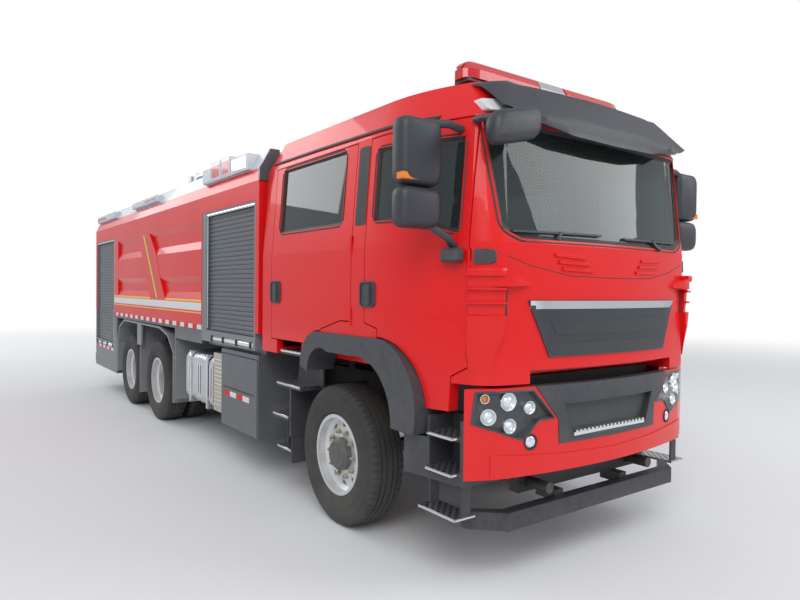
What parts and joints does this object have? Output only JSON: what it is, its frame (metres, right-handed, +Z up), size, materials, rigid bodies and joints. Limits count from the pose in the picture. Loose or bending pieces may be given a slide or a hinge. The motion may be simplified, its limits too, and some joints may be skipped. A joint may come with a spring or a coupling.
{
  "type": "foam fire truck",
  "caption": "Cab-over foam fire truck: tilting crew cab with opening doors, shuttered body with embossed red panels, roof monitor, steered and twin wheels, fold-down step flaps.",
  "frame": {"origin": "on the ground, under the middle of the overall length and width", "axes": "+X to the truck's left, +Y to its rear (the front faces -Y), +Z up"},
  "size_m": [3, 9.87, 3.6499],
  "materials": {
    "frame_black": "semi-gloss black chassis paint",
    "axle_black": "black painted castings and springs",
    "engine_grey": "cast iron",
    "wheel_steel": "silver wheel paint",
    "tyre_rubber": "black rubber",
    "signal_red": "gloss red paint",
    "body_grey": "grey paint",
    "shutter_grey": "anodised and painted aluminium slats",
    "bright_aluminium": "anodised aluminium",
    "stainless": "brushed stainless steel",
    "light_grey": "light grey glass-fibre",
    "dark_plastic": "grained dark plastic",
    "lamp_clear": "clear lamp covers over reflectors",
    "window_glass": "tinted safety glass",
    "seat_fabric": "dark woven cloth",
    "trim_grey": "grained interior plastic",
    "mirror_black": "black mirror housings",
    "light_bar_red": "red and clear lamp covers"
  },
  "bodies": {
    "truck": {"chassis_frame": "frame_black", "axles": "axle_black", "engine_block": "engine_grey", "bumper": "signal_red", "bumper_centre": "dark_plastic", "headlamps": "lamp_clear", "underrun_bars": "frame_black", "cab_steps": "dark_plastic", "front_locker": "body_grey", "tank_body": "body_grey", "pump_room": "body_grey", "side_panels": "signal_red", "roller_shutters": "shutter_grey", "shutter_frames": "bright_aluminium", "roof_rails": "light_grey", "roof_lamps": "lamp_clear", "rear_fenders": "light_grey", "fuel_tank": "stainless", "exhaust_box": "stainless", "air_tanks": "frame_black", "lower_lockers": "body_grey", "rear_ladder": "bright_aluminium"},
    "cab": {"cab_shell": "signal_red", "hood_panel": "signal_red", "grille": "dark_plastic", "windscreen": "window_glass", "sun_visor": "dark_plastic", "light_bar": "light_bar_red", "kerb_mirror": "mirror_black", "arch_flares": "dark_plastic", "cab_seats": "seat_fabric", "dashboard": "trim_grey"},
    "front_door_left": {"front_door_left": "signal_red", "front_glass_left": "window_glass", "mirror_left": "mirror_black"},
    "front_door_right": {"front_door_right": "signal_red", "front_glass_right": "window_glass", "mirror_right": "mirror_black"},
    "rear_door_left": {"rear_door_left": "signal_red", "rear_glass_left": "window_glass"},
    "rear_door_right": {"rear_door_right": "signal_red", "rear_glass_right": "window_glass"},
    "step_flap_left": {"step_flap_left": "body_grey"},
    "step_flap_right": {"step_flap_right": "body_grey"},
    "monitor_swivel": {"monitor_swivel": "frame_black"},
    "monitor_barrel": {"monitor_barrel": "frame_black"},
    "knuckle_left": {"knuckle_left": "axle_black"},
    "knuckle_right": {"knuckle_right": "axle_black"},
    "front_wheel_left": {"front_rim_left": "wheel_steel", "front_tyre_left": "tyre_rubber"},
    "front_wheel_right": {"front_rim_right": "wheel_steel", "front_tyre_right": "tyre_rubber"},
    "middle_wheel_left": {"middle_rim_left": "wheel_steel", "middle_tyre_left": "tyre_rubber"},
    "middle_wheel_right": {"middle_rim_right": "wheel_steel", "middle_tyre_right": "tyre_rubber"},
    "rear_wheel_left": {"rear_rim_left": "wheel_steel", "rear_tyre_left": "tyre_rubber"},
    "rear_wheel_right": {"rear_rim_right": "wheel_steel", "rear_tyre_right": "tyre_rubber"}
  },
  "joints": [
    {"name": "cab_tilt", "type": "hinge", "parent": "truck", "child": "cab", "pos_m": [0, -4.765, 0.95], "axis": [1, 0, 0], "range_deg": [0, 40]},
    {"name": "front_door_left_hinge", "type": "hinge", "parent": "cab", "child": "front_door_left", "pos_m": [1.088, -4.674, 1.6], "axis": [0, 0, -1], "range_deg": [0, 70]},
    {"name": "rear_door_left_hinge", "type": "hinge", "parent": "cab", "child": "rear_door_left", "pos_m": [1.236, -3.629, 1.8], "axis": [0, 0, -1], "range_deg": [0, 75]},
    {"name": "steer_left", "type": "hinge", "parent": "truck", "child": "knuckle_left", "pos_m": [0.88, -3.315, 0.52], "axis": [0, 0, 1], "range_deg": [-35, 35]},
    {"name": "front_wheel_left_spin", "type": "hinge", "parent": "knuckle_left", "child": "front_wheel_left", "pos_m": [1.09, -3.315, 0.52], "axis": [1, 0, 0], "continuous": true},
    {"name": "step_flap_left_hinge", "type": "hinge", "parent": "truck", "child": "step_flap_left", "pos_m": [1.23, -1.6475, 0.42], "axis": [0, 1, 0], "range_deg": [0, 90]},
    {"name": "middle_wheel_left_spin", "type": "hinge", "parent": "truck", "child": "middle_wheel_left", "pos_m": [0.8845, 1.285, 0.52], "axis": [1, 0, 0], "continuous": true},
    {"name": "rear_wheel_left_spin", "type": "hinge", "parent": "truck", "child": "rear_wheel_left", "pos_m": [0.8845, 2.685, 0.52], "axis": [1, 0, 0], "continuous": true},
    {"name": "front_door_right_hinge", "type": "hinge", "parent": "cab", "child": "front_door_right", "pos_m": [-1.088, -4.674, 1.6], "axis": [0, 0, 1], "range_deg": [0, 70]},
    {"name": "rear_door_right_hinge", "type": "hinge", "parent": "cab", "child": "rear_door_right", "pos_m": [-1.236, -3.629, 1.8], "axis": [0, 0, 1], "range_deg": [0, 75]},
    {"name": "steer_right", "type": "hinge", "parent": "truck", "child": "knuckle_right", "pos_m": [-0.88, -3.315, 0.52], "axis": [0, 0, 1], "range_deg": [-35, 35]},
    {"name": "front_wheel_right_spin", "type": "hinge", "parent": "knuckle_right", "child": "front_wheel_right", "pos_m": [-1.09, -3.315, 0.52], "axis": [1, 0, 0], "continuous": true},
    {"name": "step_flap_right_hinge", "type": "hinge", "parent": "truck", "child": "step_flap_right", "pos_m": [-1.23, -1.6475, 0.42], "axis": [0, -1, 0], "range_deg": [0, 90]},
    {"name": "middle_wheel_right_spin", "type": "hinge", "parent": "truck", "child": "middle_wheel_right", "pos_m": [-0.8845, 1.285, 0.52], "axis": [1, 0, 0], "continuous": true},
    {"name": "rear_wheel_right_spin", "type": "hinge", "parent": "truck", "child": "rear_wheel_right", "pos_m": [-0.8845, 2.685, 0.52], "axis": [1, 0, 0], "continuous": true},
    {"name": "monitor_turn", "type": "hinge", "parent": "truck", "child": "monitor_swivel", "pos_m": [0, 3.385, 3], "axis": [0, 0, 1], "continuous": true},
    {"name": "monitor_raise", "type": "hinge", "parent": "monitor_swivel", "child": "monitor_barrel", "pos_m": [0, 3.385, 3.56], "axis": [-1, 0, 0], "range_deg": [-10, 70]}
  ],
  "couplings": [
    {"joint": "steer_right", "follows": "steer_left", "ratio": 1}
  ]
}
